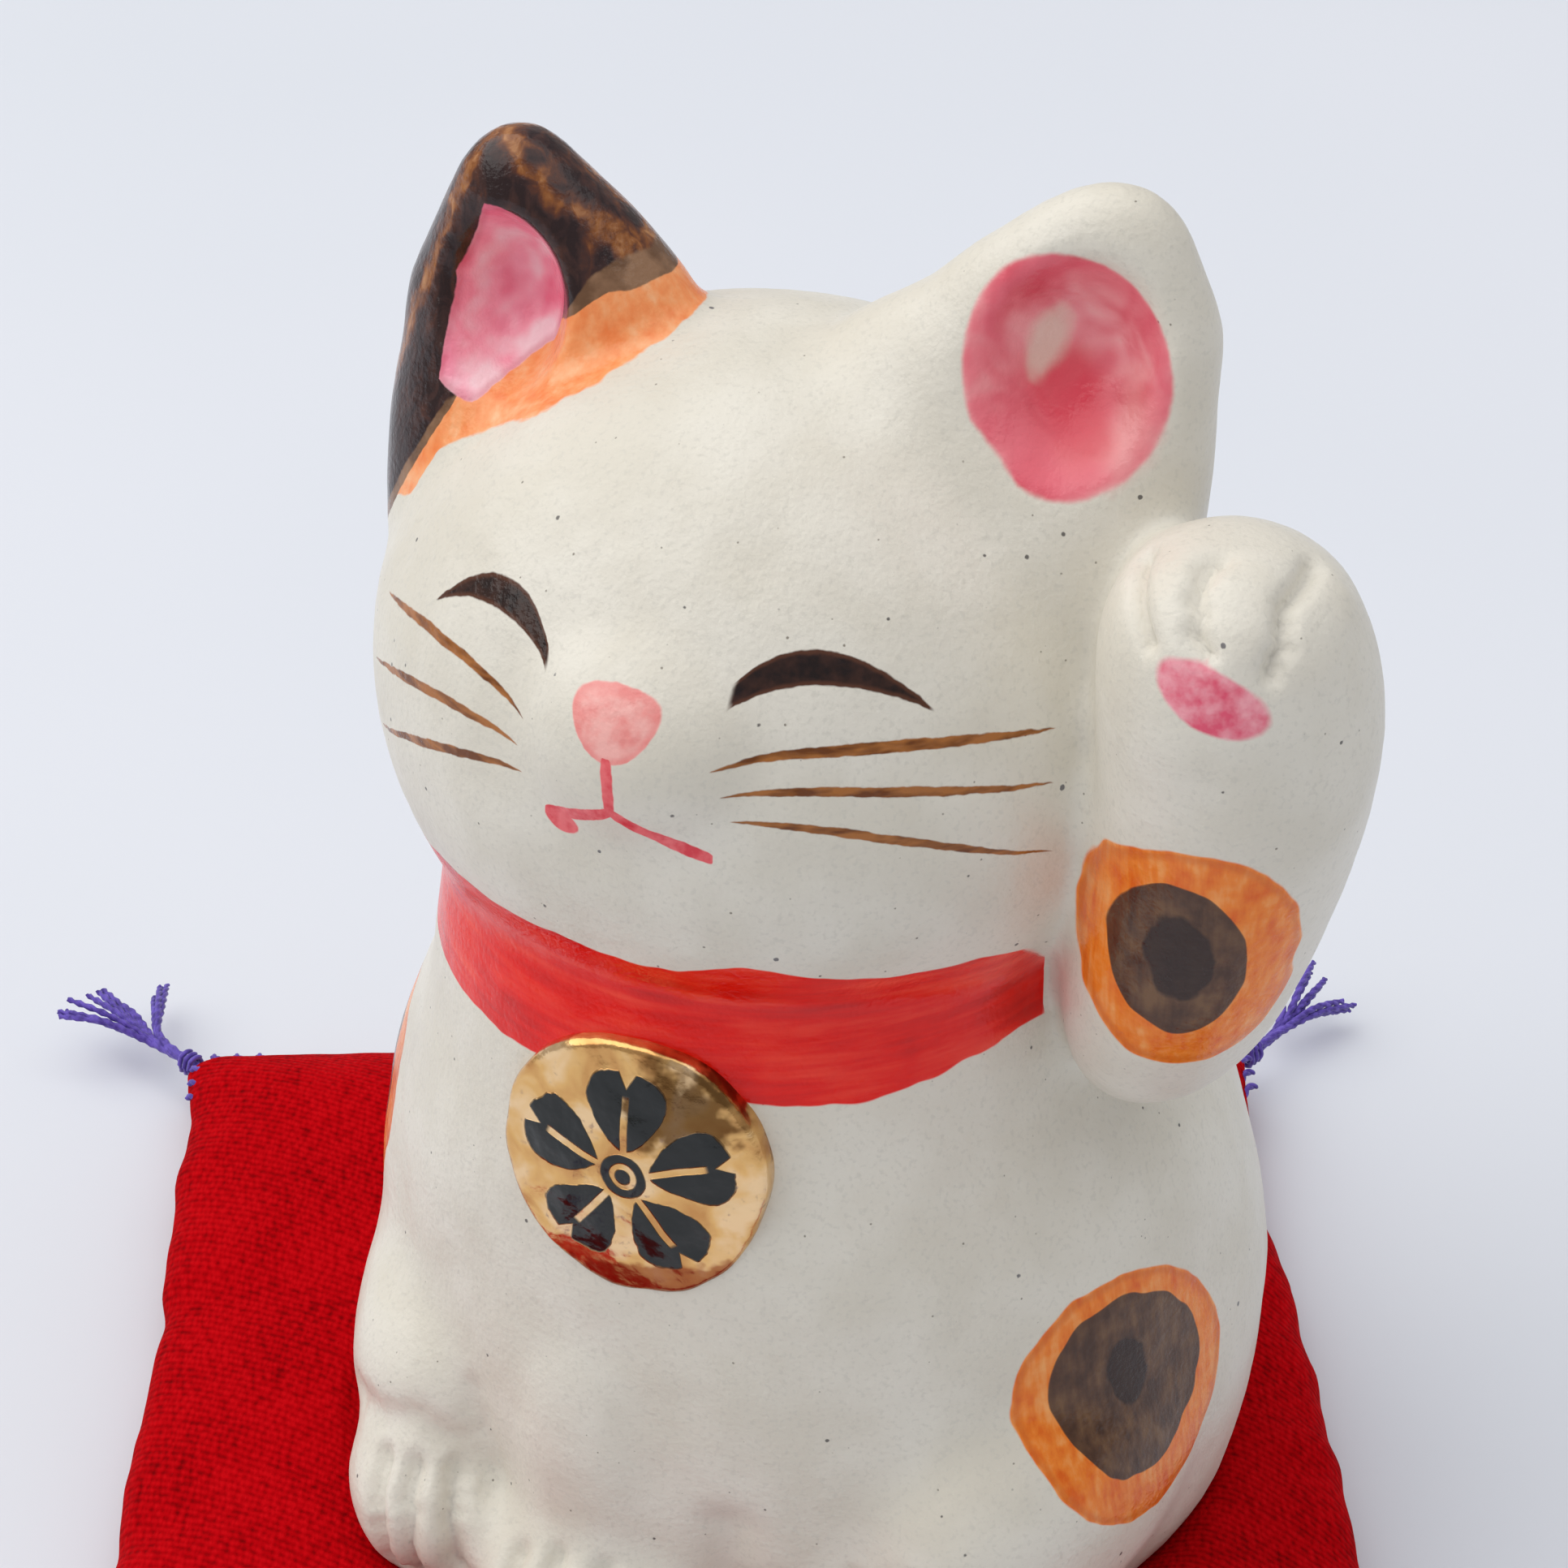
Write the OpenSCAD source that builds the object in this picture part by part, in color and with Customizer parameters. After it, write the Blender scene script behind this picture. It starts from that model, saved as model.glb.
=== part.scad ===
// Beckoning cat figurine in stoneware, resting loose on a square tasselled cushion.
// Millimetres, +Z up, the cat faces -Y, origin at the centre of the cushion's underside.

/* [Cat] */
// Height of the head's widest level above the ground
head_z = 87.4; // [80:0.1:95]
// Half widths of the head across, front to back and up
head_half = [31.5, 29.2, 28.6];
// Wall of the cast body and head
wall = 4; // [3:0.5:6]
// Bore of the vent hole in the cat's base
vent_bore = 10; // [6:1:16]
// Place of the cat on the cushion, across and front to back
cat_at = [5, -3];

/* [Medallion] */
// Width of the gilded disc
disc_width = 22; // [18:0.5:28]
// Thickness of its rim where it stands out of the chest
disc_rim = 1.1; // [0.6:0.1:2]

/* [Cushion] */
// Side of the cushion
cushion_side = 107; // [95:1:120]
// Height of the cushion's rim above the ground
cushion_h = 11; // [8:0.5:16]
// Turn of the cushion against the cat
cushion_turn = 24; // [0:1:45]
// Thickness of the crepe cover with its lining
cover_t = 0.8; // [0.4:0.1:1.5]
// Length of a tassel's threads
tassel_l = 18; // [10:1:26]

/* [Hidden] */
// Level of the cat's base, and of the dent that it rests in
base_z = 8.3;
dent_z = base_z - 0.35;
// Level at which the body and the head are joined under the collar
neck_z = 72.5;
half = cushion_side / 2;
seam_z = 4;
around = 52;

// Body: level, centre across, half width, front and back
body_keys = [
    [8.3, 1, 33, -25.5, 37.5], [9.4, 1.1, 35.2, -27.6, 39.8], [13, 1.3, 37.6, -29.6, 42.3],
    [20, 1.5, 39, -30.6, 43.6], [29, 1.5, 39.3, -31, 43.4], [38, 1.5, 38.1, -30.8, 41.5],
    [47, 1.4, 35.4, -30.3, 38.4], [54, 1, 31.5, -29.8, 34.6], [60, 0.4, 28.4, -29.2, 31],
    [66, 0, 26.8, -28.4, 28], [72.5, 0, 25.2, -26.6, 25]
];
// Raised arm: level, centre across, half width, front and back
arm_keys = [
    [61.2, 32.8, 1.5, -8, -4], [62, 33.2, 4.4, -11, -1], [65.4, 34, 7, -14, 3],
    [71, 35.2, 8.6, -16.4, 4.4], [79, 37, 9.4, -17.8, 4], [87, 38.6, 9.9, -18.8, 2.6],
    [95, 39.4, 10.2, -20, 1.4], [101.5, 39, 10, -20.4, 0.6], [106.6, 38, 8.6, -18.8, -0.6],
    [110.2, 37, 5.6, -16, -3], [112, 36.6, 1.6, -12, -7]
];
// Ears: level, centre across, half width, front and back
right_ear_keys = [
    [96, -19.5, 12.2, -12, 11], [104, -19.6, 12.1, -9.5, 11], [110, -19, 12.1, -7, 10],
    [115, -18.8, 11.6, -5.5, 9], [119, -19.2, 9.4, -4.4, 8], [122.5, -20, 7, -3.2, 6.8],
    [125.3, -20.9, 4.6, -2, 5.4], [127.2, -21.2, 2.4, -0.6, 4.2], [127.9, -21.2, 0.8, 0.6, 2.6]
];
left_ear_keys = [
    [97, 20, 12.4, -12, 12], [105, 19.6, 13.2, -10, 11], [111, 18.6, 14.6, -8, 10],
    [117, 18.6, 14.6, -6, 9], [121, 21.4, 11.8, -4.6, 8], [124.6, 22.8, 9.2, -3.4, 7],
    [128, 24.2, 6.2, -1.8, 5.8], [130.2, 25, 3.6, -0.4, 4.6], [131.2, 25.3, 1, 1.2, 3]
];

// Catmull-Rom value at step s along the rows k
function spline(k, s) =
    let(i = min(floor(s), len(k) - 2), f = s - i,
        a = k[max(i - 1, 0)], b = k[i], c = k[i + 1], d = k[min(i + 2, len(k) - 1)])
    0.5 * (2 * b + (c - a) * f + (2 * a - 5 * b + 4 * c - d) * f * f
        + (3 * b - 3 * c + d - a) * f * f * f);

// Ring of n points of one section, its walls moved in by g
function ring(q, n, g) = [
    for (j = [0:n - 1]) let(t = 360 * j / n, y0 = (q[3] + q[4]) / 2, ry = (q[4] - q[3]) / 2 - g)
        [q[1] + (q[2] - g) * cos(t), y0 + ry * sin(t), q[0]]
];

// Middle of a ring's points
function middle(r) = [for (p = r) 1] * r / len(r);

// Closed skin over rings of n points each
module skin(rings, n) {
    m = len(rings);
    sides = [for (i = [0:m - 2], j = [0:n - 1], h = [0, 1]) let(k = (j + 1) % n)
        h == 0 ? [i * n + j, (i + 1) * n + j, (i + 1) * n + k] : [i * n + j, (i + 1) * n + k, i * n + k]];
    bottom = [for (j = [0:n - 1]) [m * n, j, (j + 1) % n]];
    top = [for (j = [0:n - 1]) [m * n + 1, (m - 1) * n + (j + 1) % n, (m - 1) * n + j]];
    points = concat([for (r = rings) for (p = r) p], [middle(rings[0]), middle(rings[m - 1])]);
    polyhedron(points, concat(sides, bottom, top), convexity = 6);
}

// Solid through the key sections, with steps rings for each, walls moved in by g
module loft(keys, steps, n, g = 0) {
    last = (len(keys) - 1) * steps;
    skin([for (i = [0:last]) ring(spline(keys, i / steps), n, g)], n);
}

// Its children at their own size, made as one mesh
module whole() resize([0, 0, 0]) children();

// Egg with its centre at p and half sizes s
module egg(p, s, n = 32) translate(p) scale(s) sphere(1, $fn = n);

// Ball of a hull
module ball(p, r, n = 16) translate(p) sphere(r, $fn = n);

// Four toes of radius r side by side about x, their tips at y and the foot's back at back
module paw(x, y, back, r) {
    for (i = [-1.5:1.5]) {
        tip = y + r + 0.9 * i * i;
        hull() {
            ball([x + i * r * 1.22, tip, base_z + r * 0.9], r);
            ball([x + i * r * 1.16, tip + r * 1.6, base_z + r * 1.8], r * 1.35);
            ball([x + i * r, back, base_z + r * 2], r * 1.5, 12);
        }
    }
}

module body_form() {
    loft(body_keys, 3, around);
    for (s = [-1, 1]) {
        egg([s * 23 + 1.5, -3, 24], [14.6, 26.5, 16]);
        paw(s * 20 + 0.5, -32.4, -13, 3.4);
    }
    egg([-2.4, -20, 28], [10.5, 12.6, 23]);
    paw(-2, -37.8, -22, 3.8);
}

module head_form() {
    egg([0, -0.4, head_z], head_half, 56);
    egg([0, -17, head_z + 7.1], [13, 14.2, 11], 36);
    loft(right_ear_keys, 2, 32);
    loft(left_ear_keys, 2, 32);
}

module head_shell() color("ivory") translate([cat_at[0], cat_at[1], 0])
    whole() difference() {
        head_form();
        egg([0, -0.4, head_z], [for (h = head_half) h - wall], 32);
        // ear hollows
        translate([-21.4, -7.6, 115])
            rotate([0, -11, 0])
                egg([0, 0, 0], [5, 6, 10], 28);
        egg([23.9, -11.2, 119], [10.2, 7.8, 12.4], 32);
        translate([-50, -50, 0])
            cube([100, 100, neck_z]);
    }

module body_shell() color("ivory") translate([cat_at[0], cat_at[1], 0])
    whole() difference() {
        body_form();
        difference() {
            loft(body_keys, 2, 40, wall);
            translate([-50, -50, 0])
                cube([100, 100, base_z + wall]);
        }
        translate([1, 6, 0])
            cylinder(h = 20, d = vent_bore, $fn = 48);
        // opening of the neck and flat foot ring
        translate([0, 0, neck_z - 8])
            cylinder(h = 20, r = 20, $fn = 40);
        translate([-60, -60, -10])
            cube([120, 120, 10 + base_z]);
    }

module raised_arm() color("ivory") translate([cat_at[0], cat_at[1], 0])
    whole() difference() {
        union() {
            loft(arm_keys, 2, 40);
            for (i = [-1.5:1.5])
                hull() {
                    ball([39.4 + i * 4.1, -18.4 + 0.9 * i * i, 108.4 - 0.5 * i * i], 2.9, 14);
                    ball([38.6 + i * 3.5, -13.6 + 0.5 * i * i, 110 - 0.9 * i * i], 2.9, 14);
                }
        }
        body_form();
        head_form();
    }

module tail() color("ivory") translate([cat_at[0], cat_at[1], 0])
    whole() difference() {
        // route round the back, from its root to the tip
        for (i = [0:8]) {
            t0 = -22 + i * 8;
            t1 = t0 + 8;
            hull() {
                ball([41 * sin(t0) + 1, 5.5 + 39.5 * cos(t0), 14.6 + i * 0.45], 6 - i * 0.2, 14);
                ball([41 * sin(t1) + 1, 5.5 + 39.5 * cos(t1), 15.1 + i * 0.45], 5.8 - i * 0.2, 14);
            }
        }
        body_form();
        translate([-60, -60, -10])
            cube([120, 120, 10 + base_z]);
    }

// Domed disc tangent to the chest
module medallion() color("goldenrod") translate([cat_at[0], cat_at[1], 0])
    whole() difference() {
        translate([0.3, -25.4, 58.6])
            rotate([90 - 4, 0, 0])
                intersection() {
                    cylinder(h = 8, d = disc_width, $fn = 48);
                    translate([0, 0, -42.4 + disc_rim])
                        rotate_extrude($fn = 48)
                            intersection() {
                                circle(47, $fn = 180);
                                square([12, 60]);
                            }
                }
        body_form();
    }

// Rounded square ring of half size h: points where the sides meet stay nearly sharp
function square_ring(h, n) = [
    for (j = [0:n - 1]) let(t = 360 * j / n, c = cos(t), s = sin(t), p = 14,
        r = h / pow(pow(abs(c), p) + pow(abs(s), p), 1 / p)) [r * c, r * s]
];

// How far into a corner a point is, 0 on the middle lines and 1 at the corner
function cornered(p) = pow(min(abs(p[0]), abs(p[1])) / half, 5);

// Cat's place seen from the turned cushion
function cat_seen() = [
    cat_at[0] * cos(cushion_turn) + (cat_at[1] + 2) * sin(cushion_turn),
    -cat_at[0] * sin(cushion_turn) + (cat_at[1] + 2) * cos(cushion_turn)
];

// Depth of the dent at a point, 0 outside and 1 under the cat
function dented(p) = let(q = (norm(p - cat_seen()) / 42 - 1) / 0.28, v = max(0, min(1, q)))
    1 - v * v * (3 - 2 * v);

function top_level(p, g) = let(high = cushion_h - g) high - (high - dent_z + g) * dented(p);

// Rings of the cushion moved in by g, all round and then over the top
function cushion_rings(g, n) = concat(
    [for (i = [0:8]) let(t = -60 + 150 * i / 8, h = half - 6 - g)
        [for (p = square_ring(h + 6 * cos(t), n)) let(rise = sin(t) < 0 ? seam_z - 0.8 : cushion_h - seam_z)
            [p[0], p[1], seam_z + (rise - g) * sin(t) * (1 - 0.72 * cornered(p)) / (sin(t) < 0 ? 0.867 : 1)
                - (t > 60 ? (cushion_h - dent_z) * dented(p) * (t - 60) / 30 : 0)]]],
    [for (k = [1:7]) [for (p = square_ring((half - 6 - g) * (1 - k / 7.4), n))
        [p[0], p[1], seam_z + (top_level(p, g) - seam_z) * (1 - 0.72 * cornered(p))]]]
);

module cushion_cover_top() color("crimson") rotate(cushion_turn)
    whole() difference() {
        skin(cushion_rings(0, 56), 56);
        skin(cushion_rings(cover_t, 36), 36);
        translate([-half + 8, -half + 8, 0])
            cube([cushion_side - 16, cushion_side - 16, 2]);
    }

module cushion_filling() color("white") rotate(cushion_turn)
    skin(cushion_rings(cover_t + 0.15, 36), 36);

module cushion_cover_bottom() color("crimson") rotate(cushion_turn)
    linear_extrude(cover_t)
        square(cushion_side - 12, center = true);

// Knot and loose threads at one corner
module tassel(i) color("rebeccapurple")
    rotate(cushion_turn + 45 + 90 * i)
        translate([half * sqrt(2) - 1, 0, seam_z + 0.6]) {
            ball([0, 0, 0], 2, 12);
            for (k = [-2:2]) {
                bend = [tassel_l * 0.5 * cos(k * 14), tassel_l * 0.5 * sin(k * 14), 1 + (k * k) % 3];
                end = [tassel_l * cos(k * 22), tassel_l * sin(k * 22), (k * k + 1) % 3 - 1];
                hull() {
                    ball([1, 0, 0], 0.7, 6);
                    ball(bend, 0.6, 6);
                }
                hull() {
                    ball(bend, 0.6, 6);
                    ball(end, 0.5, 6);
                }
            }
        }

module tassel_1() tassel(0);
module tassel_2() tassel(1);
module tassel_3() tassel(2);
module tassel_4() tassel(3);

body_shell();
head_shell();
raised_arm();
tail();
medallion();
cushion_cover_top();
cushion_cover_bottom();
cushion_filling();
tassel_1();
tassel_2();
tassel_3();
tassel_4();
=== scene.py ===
# Hand-painted stoneware beckoning cat on a red crepe cushion with corner tassels.
import math

import bmesh
import bpy
import numpy as np
from mathutils import Matrix, Vector, noise
from mathutils.kdtree import KDTree


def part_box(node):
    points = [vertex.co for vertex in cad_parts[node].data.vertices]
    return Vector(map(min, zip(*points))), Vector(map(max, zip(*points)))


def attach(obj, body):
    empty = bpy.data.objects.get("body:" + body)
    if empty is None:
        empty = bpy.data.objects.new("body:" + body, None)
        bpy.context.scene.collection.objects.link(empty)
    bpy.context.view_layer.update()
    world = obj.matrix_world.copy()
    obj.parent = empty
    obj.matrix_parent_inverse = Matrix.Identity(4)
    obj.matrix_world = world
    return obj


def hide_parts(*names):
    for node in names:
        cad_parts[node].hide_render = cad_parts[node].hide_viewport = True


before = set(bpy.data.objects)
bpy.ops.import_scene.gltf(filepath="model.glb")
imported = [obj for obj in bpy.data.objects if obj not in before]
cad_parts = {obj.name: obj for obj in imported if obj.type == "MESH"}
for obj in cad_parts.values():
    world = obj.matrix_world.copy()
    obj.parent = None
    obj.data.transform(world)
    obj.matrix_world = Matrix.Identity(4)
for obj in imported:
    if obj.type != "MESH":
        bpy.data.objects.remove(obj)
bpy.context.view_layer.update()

MM = 0.001
disc_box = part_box("medallion")
clay_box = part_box("body_shell")
cover_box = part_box("cushion_cover_top")
# The cat's own centre lines, which its forms and its painting are laid out from, in millimetres
CAT = Vector(((disc_box[0].x + disc_box[1].x) / 2 / MM - 0.3, clay_box[1].y / MM - 43.7, 0))
BASE = clay_box[0].z / MM
NECK = clay_box[1].z / MM


# ---------------------------------------------------------------- camera, light and floor

def aim(thing, azimuth, elevation):
    a, e = math.radians(azimuth), math.radians(elevation)
    right = Vector((math.cos(a), math.sin(a), 0))
    back = Vector((math.sin(a) * math.cos(e), -math.cos(a) * math.cos(e), math.sin(e)))
    up = back.cross(right)
    thing.matrix_world = Matrix((
        (right.x, up.x, back.x, 0), (right.y, up.y, back.y, 0), (right.z, up.z, back.z, 0), (0, 0, 0, 1)))
    return back


VIEW_TURN, VIEW_DIP, LENS = 22.3, 33.8, 93.17
VIEW_POINT = CAT + Vector((101.26, -245.54, 253.87))


def set_camera():
    data = bpy.data.cameras.new("view")
    data.lens, data.sensor_width = LENS, 36
    data.clip_start, data.clip_end = 0.01, 20
    camera = bpy.data.objects.new("view", data)
    bpy.context.scene.collection.objects.link(camera)
    aim(camera, VIEW_TURN, VIEW_DIP)
    camera.location = VIEW_POINT * MM
    bpy.context.scene.camera = camera


def softbox(name, azimuth, elevation, distance, size, power, colour):
    data = bpy.data.lights.new(name, "AREA")
    data.shape, data.size, data.size_y = "RECTANGLE", size[0], size[1]
    data.energy, data.color = power, colour
    lamp = bpy.data.objects.new(name, data)
    bpy.context.scene.collection.objects.link(lamp)
    back = aim(lamp, azimuth, elevation)
    lamp.location = Vector((0, 0, 0.06)) + back * distance


def set_lights():
    softbox("window", -80, 52, 2.0, (3.0, 2.4), 35.5, (1.0, 0.985, 0.955))
    softbox("overhead", 100, 72, 1.4, (1.4, 1.4), 5.0, (1.0, 0.995, 0.98))
    world = bpy.data.worlds.new("room")
    world.use_nodes = True
    nodes, links = world.node_tree.nodes, world.node_tree.links
    way, height = nodes.new("ShaderNodeTexCoord"), nodes.new("ShaderNodeSeparateXYZ")
    shade = nodes.new("ShaderNodeValToRGB")
    links.new(way.outputs["Generated"], height.inputs[0])
    links.new(height.outputs["Z"], shade.inputs[0])
    links.new(shade.outputs[0], nodes["Background"].inputs["Color"])
    low, high = shade.color_ramp.elements
    low.position, low.color = 0.0, (0.40, 0.38, 0.36, 1)
    high.position, high.color = 0.8, (0.42, 0.435, 0.475, 1)
    bpy.context.scene.world = world
    bpy.context.scene.view_settings.view_transform = "Standard"


# ---------------------------------------------------------------- clay forms, in millimetres

BODY_ROWS = (
    (8.3, 1.6, 34, -26.5, 38), (9.4, 1.6, 35.8, -28.2, 40), (13, 1.75, 36.95, -29.6, 41.8),
    (20, 2.0, 37.8, -30.6, 42.9), (29, 2.05, 37.95, -31, 42.8), (38, 1.9, 37.1, -30.8, 41),
    (47, 1.6, 35.0, -30.3, 38.2), (54, 1, 31.5, -29.8, 34.6), (60, 0.4, 28.4, -29.2, 31),
    (66, 0, 26.8, -28.4, 28), (74, 0, 25.0, -26.2, 24.6), (82, 0, 20, -20, 20))
ARM_ROWS = (
    (61.2, 32.8, 1.5, -8, -4), (62, 33.2, 4.4, -11, -1), (65.4, 34, 7, -14, 3),
    (71, 35.2, 8.6, -16.4, 4.4), (79, 37, 9.4, -17.8, 4), (87, 38.6, 9.9, -18.8, 2.6),
    (95, 39.4, 10.2, -20, 1.4), (101.5, 39.2, 10, -20.6, 0.6), (106.4, 38.9, 9.2, -19.9, -0.6),
    (109.8, 38.6, 7.2, -18, -2.6), (111.8, 38.2, 3.2, -14.6, -6))
RIGHT_EAR_ROWS = (
    (96, -19.5, 12.2, -12, 11), (104, -19.6, 12.1, -9.5, 11), (110, -19, 12.1, -7, 10),
    (115, -18.8, 11.6, -5.5, 9), (119, -19.2, 9.4, -4.4, 8), (122.5, -20, 7, -3.2, 6.8),
    (125.3, -20.9, 4.6, -2, 5.4), (127.2, -21.2, 2.4, -0.6, 4.2), (127.9, -21.2, 0.8, 0.6, 2.6))
LEFT_EAR_ROWS = (
    (97, 20, 12.4, -12, 12), (105, 19.6, 13.2, -10, 11), (111, 18.6, 14.6, -8, 10),
    (117, 18.6, 14.6, -6, 9), (121, 21.4, 11.8, -4.6, 8), (124.6, 22.8, 9.2, -3.4, 7),
    (128, 24.2, 6.2, -1.8, 5.8), (130.2, 25, 3.6, -0.4, 4.6), (131.2, 25.3, 1, 1.2, 3))


def between(rows, step):
    """Catmull-Rom row at a step along the rows"""
    rows = np.array(rows, float)
    i = min(int(step), len(rows) - 2)
    f = step - i
    a, b, c, d = rows[max(i - 1, 0)], rows[i], rows[i + 1], rows[min(i + 2, len(rows) - 1)]
    return 0.5 * (2 * b + (c - a) * f + (2 * a - 5 * b + 4 * c - d) * f * f
                  + (3 * b - 3 * c + d - a) * f ** 3)


def loft(bm, rows, steps=3, segments=48):
    """Closed form through the rows of level, centre, half width, front and back"""
    rings = []
    for i in range((len(rows) - 1) * steps + 1):
        level, centre, half, front, back = between(rows, i / steps)
        place = (Matrix.Translation((centre, (front + back) / 2, level))
                 @ Matrix.Diagonal((half, (back - front) / 2, 1, 1)))
        verts = bmesh.ops.create_circle(bm, segments=segments, radius=1, matrix=place)["verts"]
        rings.append(list({e for v in verts for e in v.link_edges}))
        if i:
            bmesh.ops.bridge_loops(bm, edges=rings[-2] + rings[-1])
    bmesh.ops.holes_fill(bm, edges=rings[0] + rings[-1])


def egg(bm, centre, half, tilt=0):
    place = (Matrix.Translation(centre) @ Matrix.Rotation(math.radians(tilt), 4, "Y")
             @ Matrix.Diagonal((*half, 1)))
    bmesh.ops.create_uvsphere(bm, u_segments=40, v_segments=24, radius=1, matrix=place)


def object_of(bm, name):
    bmesh.ops.recalc_face_normals(bm, faces=bm.faces)
    mesh = bpy.data.meshes.new(name)
    bm.to_mesh(mesh)
    bm.free()
    thing = bpy.data.objects.new(name, mesh)
    bpy.context.scene.collection.objects.link(thing)
    return thing


def finished_mesh(thing):
    """The mesh that the thing has with its modifiers worked in"""
    return bpy.data.meshes.new_from_object(thing.evaluated_get(bpy.context.evaluated_depsgraph_get()))


def voxel_remesh(thing, size):
    """Replaces the mesh by one even skin over the union of its forms"""
    change = thing.modifiers.new("even", "REMESH")
    change.mode, change.voxel_size = "VOXEL", size
    done = finished_mesh(thing)
    thing.modifiers.clear()
    old, thing.data = thing.data, done
    bpy.data.meshes.remove(old)


class Skin:
    """A mesh's points as one array, with what smoothing needs"""

    def __init__(self, mesh):
        self.mesh = mesh
        self.points = self.read(mesh.vertices, "co", 3, np.float32).astype(float)
        self.edges = self.read(mesh.edges, "vertices", 2, np.int32)
        self.ends = np.concatenate((self.edges[:, 0], self.edges[:, 1]))
        self.others = np.concatenate((self.edges[:, 1], self.edges[:, 0]))
        self.near = np.bincount(self.ends, minlength=len(self.points))

    def read(self, rows, key, width, kind):
        flat = np.empty(len(rows) * width, kind)
        rows.foreach_get(key, flat)
        return flat.reshape(-1, width)

    def write(self):
        self.mesh.vertices.foreach_set("co", self.points.astype(np.float32).ravel())
        self.mesh.update()

    def normals(self):
        self.write()
        return self.read(self.mesh.vertices, "normal", 3, np.float32).astype(float)

    def step_to_mean(self):
        count = len(self.points)
        mean = np.stack([np.bincount(self.ends, self.points[self.others, k], count) for k in range(3)], 1)
        return mean / self.near[:, None] - self.points

    def fill_creases(self, passes, ridge, weight=1.0):
        """Smooths hollows fully and ridges by the share given, as wet clay and glaze do"""
        for i in range(passes):
            if i % 6 == 0:
                normals = self.normals()
            step = self.step_to_mean()
            out = np.einsum("ij,ij->i", step, normals)
            share = np.where(out > 0, 1.0, ridge) * weight
            self.points += step * (share * 0.5)[:, None]
        self.write()

    def groove(self, route, depth, width):
        """Presses a rounded groove along the skin under the route"""
        normals = self.normals()
        best = np.full(len(self.points), 1e9)
        for a, b in zip(route[:-1], route[1:]):
            a, b = np.array(a, float), np.array(b, float)
            steps = int(np.linalg.norm(b - a) / 0.4) + 1
            for i in range(steps + 1):
                away = np.linalg.norm(self.points - a - (b - a) * i / steps, axis=1)
                at = self.points[np.argmin(away)]
                best = np.minimum(best, np.linalg.norm(self.points - at, axis=1))
        self.points -= normals * (depth * np.exp(-(best / width) ** 2))[:, None]
        self.write()

    def hollow(self, centre, half, tilt=0, back=(0, 1, 0)):
        """Pushes what lies inside an egg to the egg's far side"""
        turn = np.array(Matrix.Rotation(math.radians(tilt), 3, "Y"))
        q = (self.points - centre) @ turn / half
        push = np.array(back, float) @ turn / half
        aa, bb, cc = push @ push, q @ push, np.einsum("ij,ij->i", q, q) - 1
        inside = cc < 0
        far = (-bb + np.sqrt(np.maximum(bb * bb - aa * cc, 0))) / aa
        self.points += np.where(inside, far, 0)[:, None] * np.array(back, float)
        self.write()


def unevenness(points, size, seed):
    offset = Vector((seed * 17.3, seed * 5.1, seed * 9.7))
    return np.array([noise.noise(Vector(p) / size + offset) for p in points])


def cat_skin():
    bm = bmesh.new()
    loft(bm, BODY_ROWS)
    egg(bm, (-19.8, -3, 24), (14.2, 26.5, 16))
    egg(bm, (24.5, -3, 24), (14.6, 26.5, 16))
    # hind feet, front leg and its paw
    egg(bm, (-19.2, -22.4, 16.6), (9.6, 11.6, 9.1))
    egg(bm, (21.6, -21.6, 15.6), (9.4, 11.2, 8.0))
    egg(bm, (-3.4, -20, 28), (10.5, 12.6, 23))
    egg(bm, (-4.4, -27, 14.8), (10.6, 11, 7.6))
    # head with its muzzle and ears
    egg(bm, (0, -0.4, 87.4), (31.5, 29.2, 28.6))
    egg(bm, (0, -17, 94.5), (13, 14.2, 11))
    loft(bm, RIGHT_EAR_ROWS, 3, 36)
    loft(bm, LEFT_EAR_ROWS, 3, 36)
    # raised arm
    loft(bm, ARM_ROWS, 3, 36)
    # tail laid round the back
    for i in range(13):
        t = math.radians(-22 + i * 4.3)
        radius = 5.9 - i * 0.12
        egg(bm, (41 * math.sin(t) + 1, 5.5 + 39.5 * math.cos(t), 14.6 + i * 0.3), (radius,) * 3)
    clay = object_of(bm, "clay")
    voxel_remesh(clay, 0.8)
    skin = Skin(clay.data)
    skin.hollow((-20.4, -9.0, 117.0), (6.0, 10.0, 7.7), -8)
    skin.hollow((24.4, -11.4, 121.0), (9.2, 12.4, 10.2))
    skin.hollow((1, 6, BASE - 2), (5.2, 5.2, 9.5), back=(0, 0, 1))
    voxel_remesh(clay, 0.64)
    skin = Skin(clay.data)
    z = skin.points[:, 2]
    ears = 1 / (1 + np.exp((106 - z) / 2))
    skin.fill_creases(12, 0.12, 1 - 0.5 * ears)
    low = 1 / (1 + np.exp((z - 54) / 3))
    skin.fill_creases(30, 0.15, low)
    dish = np.exp(-(((skin.points[:, 0] - 24) / 13) ** 4 + ((z - 117) / 13) ** 4))
    skin.fill_creases(14, 1.0, dish)
    brow = np.exp(-(((skin.points[:, 0] - 10.5) / 6.5) ** 4 + ((skin.points[:, 2] - 113) / 8) ** 4))
    skin.fill_creases(60, 1.0, brow)
    skin.fill_creases(8, 0.5, 1 - 0.4 * ears)
    return clay, skin


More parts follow.
